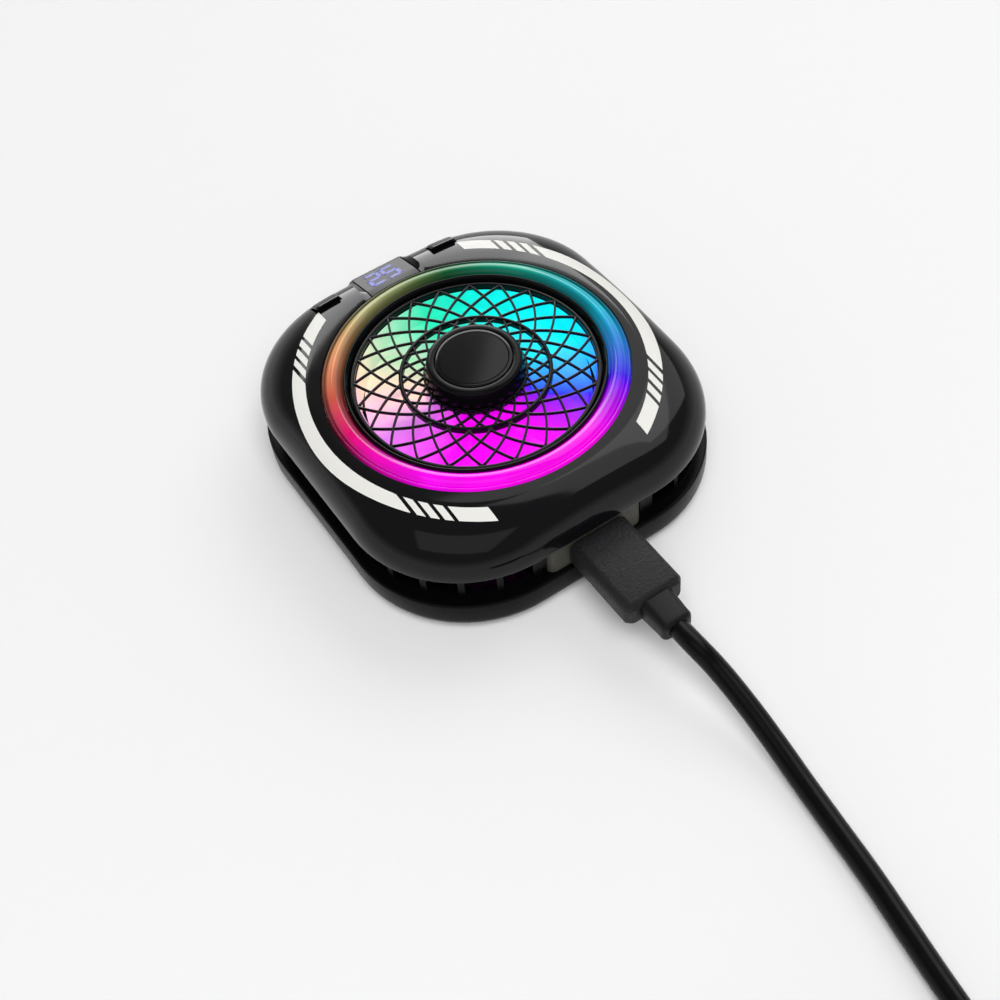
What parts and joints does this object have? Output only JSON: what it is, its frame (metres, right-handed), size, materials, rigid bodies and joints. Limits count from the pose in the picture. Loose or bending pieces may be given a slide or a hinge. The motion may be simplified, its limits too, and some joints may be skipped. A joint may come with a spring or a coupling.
{
  "type": "phone cooling fan",
  "caption": "Magnetic phone cooler: a pillow-shaped case with a lit ring, spiral grille and fan, finned heatsink, cold plate, display, buttons and a coiled USB supply lead.",
  "frame": {"origin": "middle of the contact face that lies on the phone", "axes": "+Z along the fan axis away from the phone, +Y towards the display, -Y towards the supply socket"},
  "size_m": [0.0908, 0.2385, 0.0224],
  "materials": {
    "gloss_black": "moulded ABS, high gloss",
    "satin_black": "moulded ABS, fine satin texture",
    "grille_black": "moulded ABS, semi-gloss",
    "port_grey": "moulded nylon, spark-eroded texture",
    "light_ring": "diffusing acrylic, lit from below",
    "impeller": "milky clear polycarbonate, lit",
    "display": "smoked acrylic window",
    "aluminium": "fine turned and anodised",
    "silicone": "soft silicone, matt",
    "thermal_pad": "soft filled silicone",
    "alumina": "white alumina",
    "pellets": "bismuth telluride",
    "foam": "closed-cell foam",
    "nickel": "nickel plate",
    "ferrite": "bonded ferrite",
    "steel": "ground and pressed steel",
    "copper": "enamelled copper wire",
    "bronze": "sintered bronze",
    "board": "solder-masked board",
    "white_board": "white solder mask",
    "led": "LED package",
    "inner_black": "moulded nylon",
    "natural_nylon": "natural nylon",
    "red_wire": "PVC insulation",
    "yellow_wire": "PVC insulation",
    "grey_wire": "PVC insulation",
    "cable": "PVC jacket, soft gloss",
    "overmould": "moulded TPE, fine grain",
    "tie": "hook-and-loop strap"
  },
  "bodies": {
    "cooler": {"contact_pad": "silicone", "cold_plate": "aluminium", "base_shell": "satin_black", "ring_magnets": "nickel", "cold_side_pad": "thermal_pad", "peltier_cold_ceramic": "alumina", "peltier_pellets": "pellets", "peltier_hot_ceramic": "alumina", "hot_side_pad": "thermal_pad", "foam_gasket": "foam", "heatsink": "aluminium", "thermistor": "inner_black", "vent_frame": "satin_black", "motor_base": "inner_black", "fan_board": "board", "bearing_bush": "bronze", "stator_core": "steel", "stator_coils": "copper", "fan_duct": "satin_black", "led_board": "white_board", "led_chips": "led", "light_ring": "light_ring", "fan_grille": "grille_black", "hub_cap": "gloss_black", "hub_disc": "satin_black", "front_cover": "gloss_black", "display_window": "display", "display_module": "inner_black", "control_board": "board", "tact_switches": "inner_black", "main_board": "board", "usb_socket": "nickel", "usb_tongue": "inner_black", "port_surround": "port_grey", "case_screws": "steel", "peltier_leads": "red_wire", "fan_leads": "yellow_wire", "display_leads": "grey_wire"},
    "fan": {"fan_shaft": "steel", "shaft_clip": "natural_nylon", "rotor_cup": "steel", "rotor_magnet": "ferrite", "impeller": "impeller"},
    "power_key": {"power_button": "gloss_black", "power_plunger": "natural_nylon"},
    "mode_key": {"mode_button": "gloss_black", "mode_plunger": "natural_nylon"},
    "lead": {"plug_housing": "overmould", "plug_shell": "nickel", "plug_relief": "overmould", "cable": "cable", "cable_coil": "cable", "cable_tail": "cable", "cable_tie": "tie", "usb_a_relief": "overmould", "usb_a_housing": "overmould", "usb_a_shell": "nickel", "usb_a_tongue": "natural_nylon"}
  },
  "joints": [
    {"name": "fan_spin", "type": "hinge", "parent": "cooler", "child": "fan", "pos_m": [0, 0, 0.012], "axis": [0, 0, 1], "continuous": true},
    {"name": "power_press", "type": "slide", "parent": "cooler", "child": "power_key", "axis": [0, 0, -1], "range_m": [0, 0.0004], "stiffness_N_per_m": 4000},
    {"name": "mode_press", "type": "slide", "parent": "cooler", "child": "mode_key", "axis": [0, 0, -1], "range_m": [0, 0.0004], "stiffness_N_per_m": 4000},
    {"name": "plug_pull", "type": "slide", "parent": "cooler", "child": "lead", "axis": [0, -1, 0], "range_m": [0, 0.012]}
  ]
}
